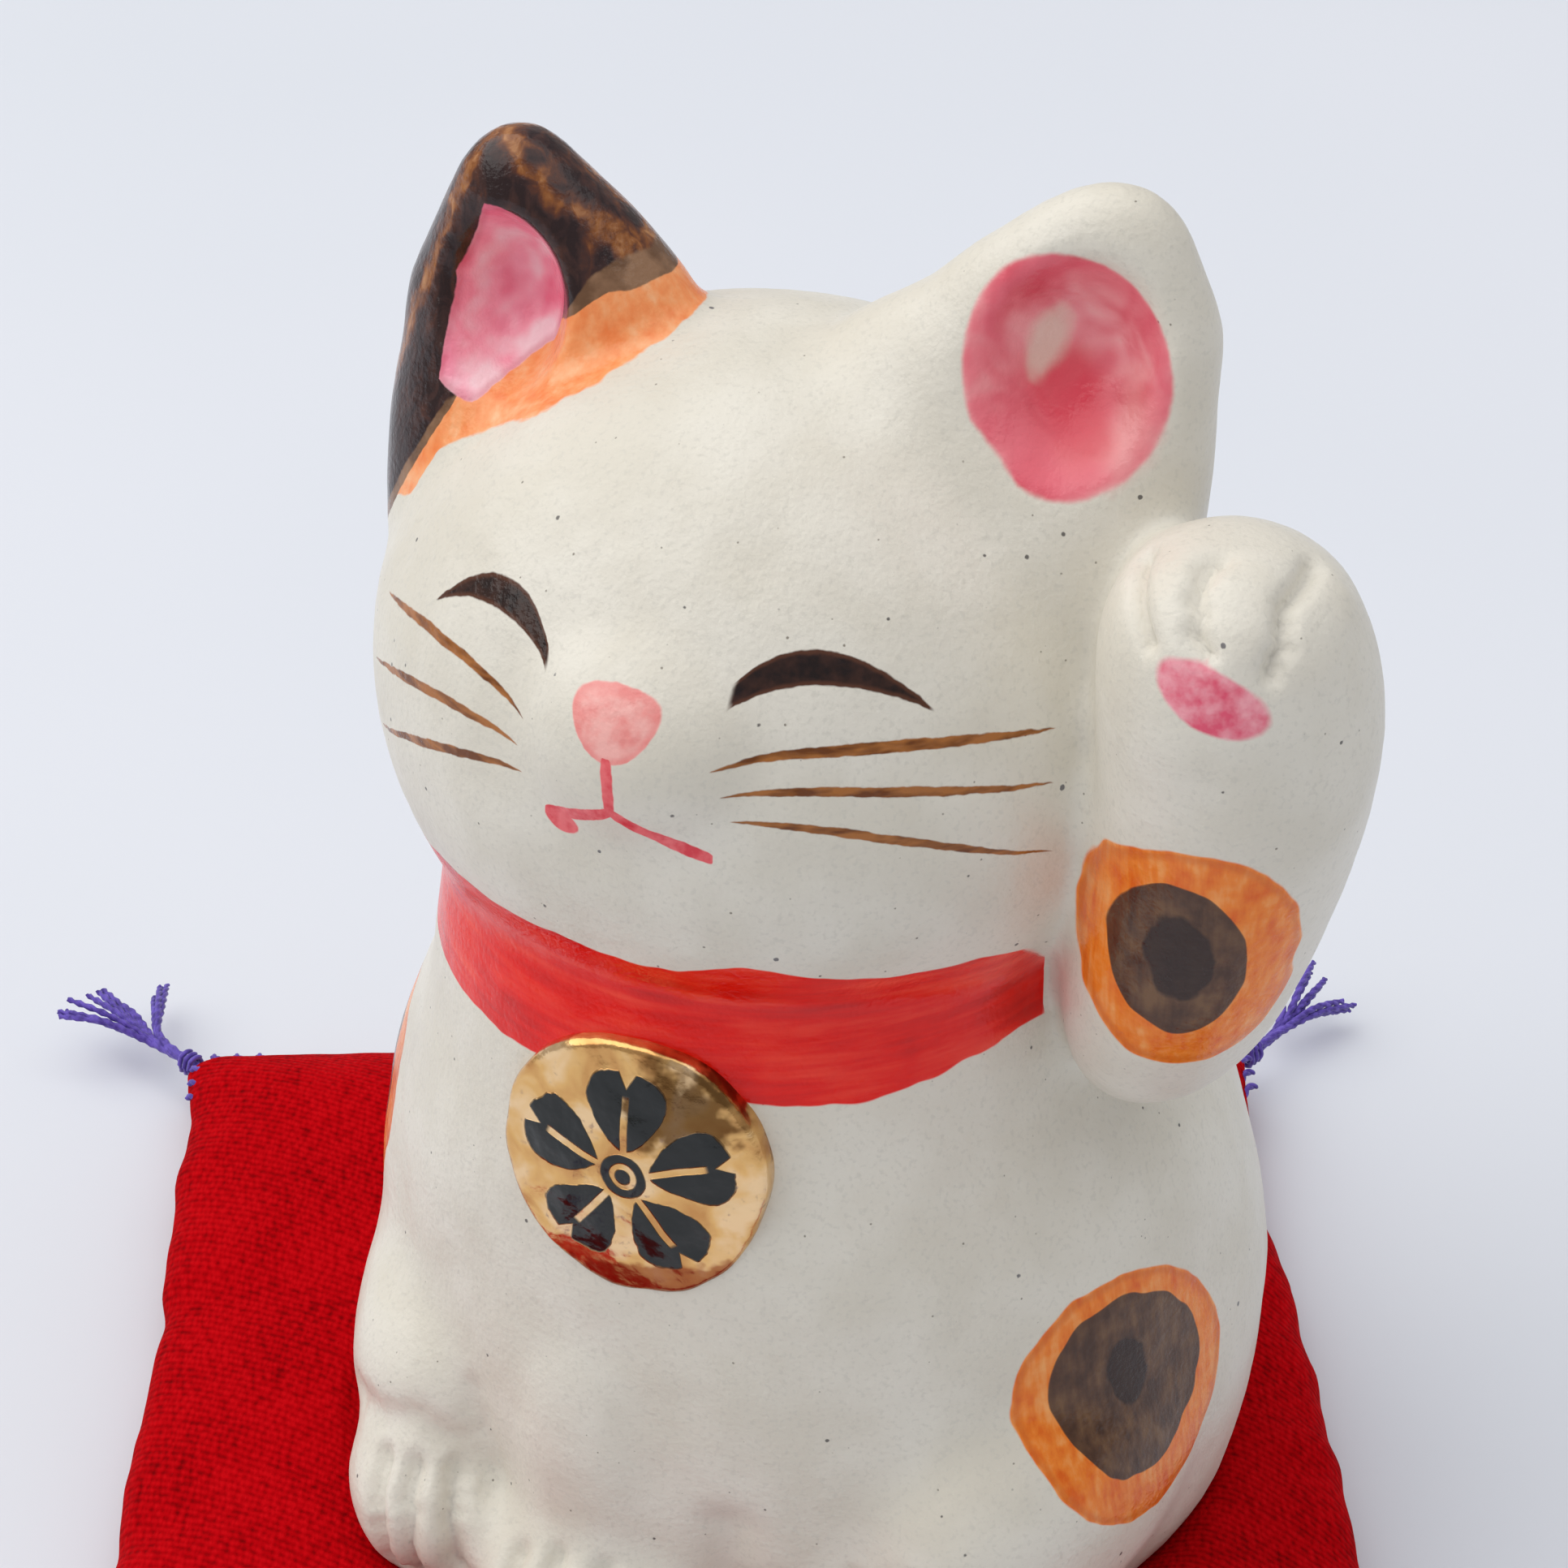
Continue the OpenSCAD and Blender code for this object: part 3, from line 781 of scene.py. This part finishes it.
def arm_glaze():
    glaze = Glaze("glaze_raised_arm")
    side, height, depth = glaze.across(glaze.loose, (0, 0, 0), 22)
    calico(glaze, side, height, (depth < -18), ((29.9, 81.3), (7.9, 11.0), 0, 2.3), ((28.9, 81.6), (4.9, 7.3), 4),
           ((29.0, 82.0), (2.5, 4.1), 4))
    sx, sy, sz = glaze.split(glaze.steady)
    pad = glaze.oval(sx, sz, (39.95, 105.3), (4.3, 2.15), -23)
    tint = glaze.ramp(glaze.cloud(glaze.place, 1.6, 3), (0.36, srgb(232, 88, 116)), (0.64, srgb(248, 168, 178)))
    glaze.coat(pad.rise(-0.15, 0.2) * (sy < -12), tint, 0.22)
    return glaze.finish()


def gilding(centre, normal, along):
    gold = Finish("gilding")
    place = gold.vector("SUBTRACT", gold.place, tuple(centre))
    u = gold.node("ShaderNodeVectorMath", {"operation": "DOT_PRODUCT"}, {0: place, 1: tuple(along)}, 1)
    up = Vector(normal).cross(Vector(along))
    v = gold.node("ShaderNodeVectorMath", {"operation": "DOT_PRODUCT"}, {0: place, 1: tuple(up)}, 1)
    wob = gold.cloud(gold.place, 1.6, 2) - 0.5
    # five brushed petals, each notched and split by a vein, about a small ringed heart
    sector = math.radians(72)
    u, cv = u / 1.14, (v - 0.2) / 1.14
    angle = gold.node("ShaderNodeMath", {"operation": "ARCTAN2"}, {0: u, 1: cv})
    nearest = (angle / sector).maths("ROUND", angle / sector) * sector
    reach = (u * u + cv * cv).root()
    local = angle - nearest
    pu = local.maths("SINE", local) * reach
    pv = local.maths("COSINE", local) * reach
    across, along_petal = pu / ((pv - 4.6) * 0.16 + 1.0).most(0.4), (pv - 4.9) / 2.95
    petal = (1 - ((across / 2.5) * (across / 2.5) + along_petal * along_petal).root()) * 2.6 + wob * 0.55
    notch = 0.75 - (pu.size() + (8.0 - pv) * 0.55)
    vein = (0.26 - pu.size() + wob * 0.12).rise(-0.05, 0.05) * (6.2 - pv).rise(0, 0.4)
    ink = petal.rise(-0.05, 0.08) * (1 - notch.rise(-0.05, 0.08)) * (1 - vein)
    ring = (0.32 - (reach - 1.35).size() + wob * 0.2).rise(-0.06, 0.06)
    heart = (0.6 - reach + wob * 0.2).rise(-0.06, 0.06)
    ink = ink.most(ring).most(heart)
    patch = gold.cloud(gold.place, 4, 3, wander=0.5)
    metal = gold.ramp(patch, (0.34, srgb(206, 150, 92)), (0.5, srgb(232, 184, 118)), (0.64, srgb(244, 208, 160)))
    worn = gold.cloud(gold.place, 0.7, 4)
    metal = gold.mix((worn.rise(0.6, 0.72)) * patch.rise(0.5, 0.62) * 0.6, metal, srgb(150, 120, 112))
    burnt = ((u - 3.6) * (u - 3.6) / 14 + (cv - 5.6) * (cv - 5.6) / 9 + (wob + patch - 0.5) * 2.6).root()
    metal = gold.mix((1.25 - burnt).rise(0, 0.5) * 0.85, metal, srgb(96, 62, 30))
    low = (-7.2 - cv + u * 0.25 + wob * 2.4).rise(0, 0.6)
    metal = gold.mix(low * 0.7, metal, srgb(150, 62, 30))
    colour = gold.mix(ink, metal, srgb(13, 17, 16))
    dents = gold.cloud(gold.place, 2.6, 2)
    grain = gold.cloud(gold.place, 0.55, 3)
    height = dents * 1.0 + grain * 0.12 + ink * 0.5
    gold.set(Base_Color=colour, Metallic=1 - ink, Roughness=gold.mix(ink, (worn * 0.2 + 0.12), (0.16, 0.16, 0.16)),
             Normal=gold.bump(height, 0.28, 1.0))
    return gold.material


def crepe(name, turn):
    cloth = Finish(name)
    c, s = math.cos(math.radians(turn)), math.sin(math.radians(turn))
    x, y, z = cloth.split(cloth.place)
    u, v = x * c + y * s, y * c - x * s
    fine = cloth.cloud(cloth.place, 1.1, 2)
    place = cloth.join(u * 1.0 + fine * 0.25, v * 0.42, z * 0.6)
    pebble = cloth.node("ShaderNodeTexVoronoi", {"feature": "SMOOTH_F1"},
                        {"Vector": place, "Scale": 1 / 0.46, "Smoothness": 0.5})
    twill = (u * 0.7 + v * 1.1 + fine * 0.5) * (2 * math.pi / 0.95)
    ribs = twill.maths("SINE", twill) * 0.5 + 0.5
    height = (1 - pebble) * 0.65 + ribs * 0.25 + cloth.cloud(cloth.place, 0.2, 2) * 0.2
    # colour follows the weave's height: painted shade in the crepe's crevices and painted light on its raised grain,
    # mixed with the cloth's own broad uneven tone
    shade = cloth.ramp(height * 0.7 + cloth.cloud(cloth.place, 7, 2) * 0.3,
                       (0.25, srgb(120, 0, 4)), (0.5, srgb(172, 0, 8)), (0.75, srgb(196, 6, 16)))
    cloth.set(Base_Color=shade, Normal=cloth.bump(height, 0.16, 0.9))
    cloth.shader.inputs["Roughness"].default_value = 0.8
    cloth.shader.inputs["Sheen Weight"].default_value = 0.02
    cloth.shader.inputs["Sheen Roughness"].default_value = 0.4
    cloth.shader.inputs["Sheen Tint"].default_value = (*srgb(255, 90, 90), 1)
    cloth.shader.inputs["Specular IOR Level"].default_value = 0.02
    return cloth.material


def thread_finish(name):
    thread = Finish(name)
    tone = thread.cloud(thread.place, 0.8, 2)
    thread.set(Base_Color=thread.ramp(tone, (0.35, srgb(62, 34, 142)), (0.65, srgb(102, 78, 190))),
               Normal=thread.bump(thread.cloud(thread.place, 0.15, 2), 0.05, 0.6))
    thread.shader.inputs["Roughness"].default_value = 0.6
    thread.shader.inputs["Sheen Weight"].default_value = 0.3
    return thread.material


# ---------------------------------------------------------------- medallion

def make_medallion():
    """Hammered disc with an uneven outline, domed, its back on the chest"""
    tilt = Matrix.Rotation(math.radians(86), 4, "X")
    seat = CAT + Vector((0.0, -25.4, 58.9))
    bm = bmesh.new()
    radius, dome, back = 10.8, 47.0, 0.6
    front = 5.3
    profile = [Vector((0, 0, back)), Vector((radius - 0.5, 0, back)), Vector((radius - 0.05, 0, back + 0.6))]
    steps = 40
    rim_level = front - dome + math.sqrt(dome ** 2 - radius ** 2)
    profile += [Vector((radius, 0, rim_level - 0.5)), Vector((radius - 0.12, 0, rim_level - 0.12))]
    for i in range(steps + 1):
        r = (radius - 0.4) * (1 - i / steps)
        profile.append(Vector((r, 0, front - dome + math.sqrt(dome ** 2 - r ** 2))))
    verts = [bm.verts.new(p) for p in profile]
    edges = [bm.edges.new(pair) for pair in zip(verts[:-1], verts[1:])]
    bmesh.ops.spin(bm, geom=verts + edges, cent=(0, 0, 0), axis=(0, 0, 1), angle=2 * math.pi, steps=140,
                   use_merge=True)
    bmesh.ops.remove_doubles(bm, verts=bm.verts, dist=0.01)
    for vert in bm.verts:
        r = math.hypot(vert.co.x, vert.co.y)
        t = Vector((vert.co.x, vert.co.y, 0)) / max(r, 1e-6)
        out = noise.noise(t * 1.1 + Vector((4, 2, 0))) * 0.55 + noise.noise(t * 3.2 + Vector((1, 7, 0))) * 0.2
        share = (r / radius) ** 3
        vert.co.x += t.x * out * share
        vert.co.y = (vert.co.y + t.y * out * share) * 1.05
        if vert.co.z > back + 0.7:
            beat = noise.noise(Vector((vert.co.x, vert.co.y, 0)) / 3.1) * 0.24
            beat += noise.noise(Vector((vert.co.x, vert.co.y, 9)) / 1.2) * 0.05
            vert.co.z += beat - 0.006 * vert.co.x ** 2
    bmesh.ops.transform(bm, matrix=Matrix.Scale(MM, 4) @ Matrix.Translation(seat) @ tilt, verts=bm.verts)
    disc = object_of(bm, "chest_medallion")
    disc.data.shade_smooth()
    normal = tilt.to_3x3() @ Vector((0, 0, 1))
    middle = seat + normal * front
    disc.data.materials.append(gilding(middle, normal, Vector((1, 0, 0))))
    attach(disc, "cat")
    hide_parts("medallion")


# ---------------------------------------------------------------- cushion

TURN, HALF, HIGH, SEAM = 24, 53.5, cover_box[1].z / MM, 4.2
TURNED = Matrix.Rotation(math.radians(TURN), 4, "Z")
PANEL_CELLS, VOXEL, MOST_SWELL = 56, 1.5, 1.5
# The cloth is blown up at ten times its size, where the solver is steady
GROWN, PRESSURE, PUFF_FRAMES = 10.0, 4, 20


def cushion_form():
    bm = bmesh.new()
    bmesh.ops.create_grid(bm, x_segments=PANEL_CELLS, y_segments=PANEL_CELLS, size=1)
    lower = bmesh.ops.extrude_face_region(bm, geom=bm.faces[:])
    top = [v for v in lower["geom"] if isinstance(v, bmesh.types.BMVert)]
    under = set(bm.verts) - set(top)
    for verts, upper in ((top, True), (under, False)):
        for vert in verts:
            u, v = vert.co.x, vert.co.y
            edge = (max(0, 1 - abs(u) ** 7) * max(0, 1 - abs(v) ** 7))
            pull = (1 - 0.035 * (1 - v * v)) * (1 - 0.03 * v), 1 - 0.035 * (1 - u * u)
            rise = (HIGH - 0.6 - SEAM) * edge ** 0.5 if upper else (0.9 - SEAM) * edge ** 0.42
            sag = max(u, 0) * 1.5 * math.exp(-((v - 0.6) / 0.33) ** 2) + 0.6
            vert.co = (u * (HALF + 3.4) * pull[0] - sag, v * (HALF + 2.3) * pull[1], SEAM + rise)
            vert.co.z += 0.25 if upper else -0.25
    return object_of(bm, "cushion_pad")


def swell(pad, cap):
    """Blows the pad up with cloth, each point moved by no more than the cap"""
    skin = Skin(pad.data)
    start = skin.points.copy()
    skin.points = start * GROWN * MM
    skin.write()
    cloth = pad.modifiers.new("puff", "CLOTH")
    settings = cloth.settings
    settings.use_pressure, settings.uniform_pressure_force = True, PRESSURE
    settings.effector_weights.gravity = 0
    settings.quality = 5
    cloth.collision_settings.use_collision = False
    cloth.point_cache.frame_start, cloth.point_cache.frame_end = 1, PUFF_FRAMES
    scene = bpy.context.scene
    for step in range(1, PUFF_FRAMES + 1):
        scene.frame_set(step)
    done = finished_mesh(pad)
    pad.modifiers.clear()
    scene.frame_set(1)
    pad.data = done
    skin = Skin(pad.data)
    moved = skin.points / GROWN / MM - start
    length = np.linalg.norm(moved, axis=1)
    moved *= np.minimum(1, cap / np.maximum(length, 1e-6))[:, None]
    skin.points = start + moved
    return skin


def make_cushion():
    pad = cushion_form()
    voxel_remesh(pad, VOXEL)
    skin = swell(pad, MOST_SWELL)
    p = skin.points
    # puckers that run in from the seam, and the wavy edge between the corners
    inward = np.maximum(np.abs(p[:, 0]), np.abs(p[:, 1]))
    near = np.clip((inward - (HALF - 16)) / 16, 0, 1) ** 1.5
    along = (1, 0.12, 0.2)
    side = np.where((np.abs(p[:, 0]) > np.abs(p[:, 1]))[:, None], p[:, [1, 0, 2]] * along, p * along)
    fold = unevenness(side, 4.2, 5) * 0.55 + unevenness(side, 9, 6) * 0.7
    normals = skin.normals()
    p += normals * (fold * near)[:, None]
    p += normals * (unevenness(p, 16, 8) * 0.35 * (p[:, 2] > SEAM))[:, None]
    # seam, pressed in all round between the panels
    seam = np.exp(-((p[:, 2] - SEAM) / 0.9) ** 2) * (inward > HALF - 7)
    p -= normals * (seam * 0.55)[:, None]
    # dent under the cat
    turned = p @ np.array(TURNED.to_3x3()).T
    q = np.hypot((turned[:, 0] - CAT.x - 1) / 37.5, (turned[:, 1] - CAT.y - 3) / 40.5)
    lie = BASE - 0.45 + np.clip(q - 0.9, 0, None) * 26
    p[:, 2] = np.where(p[:, 2] > SEAM, np.minimum(p[:, 2], lie), p[:, 2])
    skin.fill_creases(2, 0.6)
    p = skin.points
    p[:, 2] = np.clip(p[:, 2], 0, None)
    skin.points = p @ np.array(TURNED.to_3x3()).T * MM
    skin.write()
    pad.data.shade_smooth()
    finer = pad.modifiers.new("smooth", "SUBSURF")
    finer.levels = finer.render_levels = 1
    pad.data.materials.append(crepe("crepe", TURN))
    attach(pad, "cushion")
    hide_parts("cushion_cover_top", "cushion_cover_bottom", "cushion_filling")


THREAD, WRAP_THREAD = 0.24, 0.2


def strand(curve, points, radius, plies=2, pitch=2.2):
    """Twisted thread along the points, one spline for each ply"""
    for ply in range(plies):
        line = curve.splines.new("POLY")
        steps = 34
        line.points.add(steps)
        for i in range(steps + 1):
            t = i / steps * (len(points) - 1)
            k = min(int(t), len(points) - 2)
            a, b = points[max(k - 1, 0)], points[k]
            c, d = points[k + 1], points[min(k + 2, len(points) - 1)]
            f = t - k
            at = 0.5 * (2 * b + (c - a) * f + (2 * a - 5 * b + 4 * c - d) * f * f + (3 * b - 3 * c + d - a) * f ** 3)
            way = (c - b).normalized()
            across = way.orthogonal().normalized()
            turns = ply / plies + i / steps * (points[-1] - points[0]).length / pitch
            turn = Matrix.Rotation(2 * math.pi * turns, 3, way)
            at = at + turn @ across * radius * 0.62
            line.points[i].co = (*at, 1)
            line.points[i].radius = 1.0 if i < steps - 2 else 0.75


def make_tassels(material):
    for i in range(4):
        corner_turn = math.radians(TURN + 45 + 90 * i)
        curve = bpy.data.curves.new(f"tassel_{i + 1}", "CURVE")
        curve.dimensions = "3D"
        curve.bevel_depth, curve.bevel_resolution = THREAD, 2
        curve.use_fill_caps = True
        out = Vector((math.cos(corner_turn), math.sin(corner_turn), 0))
        side = Vector((-out.y, out.x, 0))
        up = Vector((0, 0, 1))
        corner = out * (HALF * math.sqrt(2) - (4.4 if i == 0 else 2.4)) + up * SEAM
        knot = corner + out * 3.0
        jitter = lambda a, b: noise.noise(Vector((i * 3.7 + a, b * 1.9, 0.5)))
        # three tufts of threads, held together near the knot
        swings = (36, 16, -8) if i == 0 else (30, -2, -38)
        for tuft, (swing, lift) in enumerate(zip(swings, (2.6, 1.2, -1.6))):
            for k in range(4):
                w = math.radians(swing + jitter(tuft, k) * 10)
                spread = side * jitter(k, tuft + 4) * 1.1 + up * jitter(k, tuft + 9) * 0.9
                hold = knot + out * 5.5 + side * (swing * 0.015) + spread * 0.5
                reach = 9.4 + jitter(tuft, k + 20) * 1.6
                tip = hold + (out * math.cos(w) + side * math.sin(w)) * reach + up * lift + spread * 1.4
                bow = up * (0.6 + jitter(k, tuft + 30) * 0.6) + side * jitter(k, 40 + tuft) * 0.5
                half_way = (hold + tip) / 2 + bow
                tip.z = max(tip.z, 0.8)
                strand(curve, [corner + spread * 0.4, knot + spread * 0.5, hold, half_way, tip], THREAD)
        # wrapping round the knot, and the stitches that hold it to the corner
        for turn_level in (-0.5, 0.0, 0.5):
            ring = [knot + out * (turn_level * 1.4) + side * math.cos(a) * 1.0 + up * math.sin(a) * 1.0
                    for a in np.linspace(0, 2 * math.pi, 9)]
            strand(curve, ring, WRAP_THREAD, 1)
        for s in (-1, 1):
            for k in range(3):
                start = corner - out * (0.8 + k * 1.6) + side * s * (1.4 + k * 1.6) + up * 0.9
                over = start + out * 0.9 + up * 0.55 - side * s * 0.2
                strand(curve, [start, over, start + out * 1.9 + up * 0.2], WRAP_THREAD, 2, 1.6)
        thing = bpy.data.objects.new(f"tassel_threads_{i + 1}", curve)
        bpy.context.scene.collection.objects.link(thing)
        done = finished_mesh(thing)
        bpy.data.objects.remove(thing)
        piece = bpy.data.objects.new(f"tassel_threads_{i + 1}", done)
        bpy.context.scene.collection.objects.link(piece)
        done.transform(Matrix.Scale(MM, 4))
        done.shade_smooth()
        done.materials.clear()
        done.materials.append(material)
        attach(piece, "cushion")
        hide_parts(f"tassel_{i + 1}")


def make_floor():
    bm = bmesh.new()
    bmesh.ops.create_grid(bm, x_segments=4, y_segments=4, size=4)
    floor = object_of(bm, "floor")
    board = Finish("floor")
    board.set(Base_Color=board.ramp(board.cloud(board.place, 180, 2),
                                    (0.3, srgb(222, 226, 233)), (0.7, srgb(227, 230, 237))))
    board.shader.inputs["Roughness"].default_value = 0.7
    floor.data.materials.append(board.material)


set_camera()
set_lights()
make_floor()
clay, skin = cat_skin()
finish_skin(skin)
pieces = part_clay(clay, skin)
for name, material, node in (
        ("body", body_glaze("glaze_body"), "body_shell"), ("head", head_glaze(), "head_shell"),
        ("raised_arm", arm_glaze(), "raised_arm"), ("tail", body_glaze("glaze_tail", False), "tail")):
    pieces[name].data.materials.append(material)
    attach(pieces[name], "cat")
    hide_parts(node)
make_medallion()
make_cushion()
make_tassels(thread_finish("tassel_thread"))
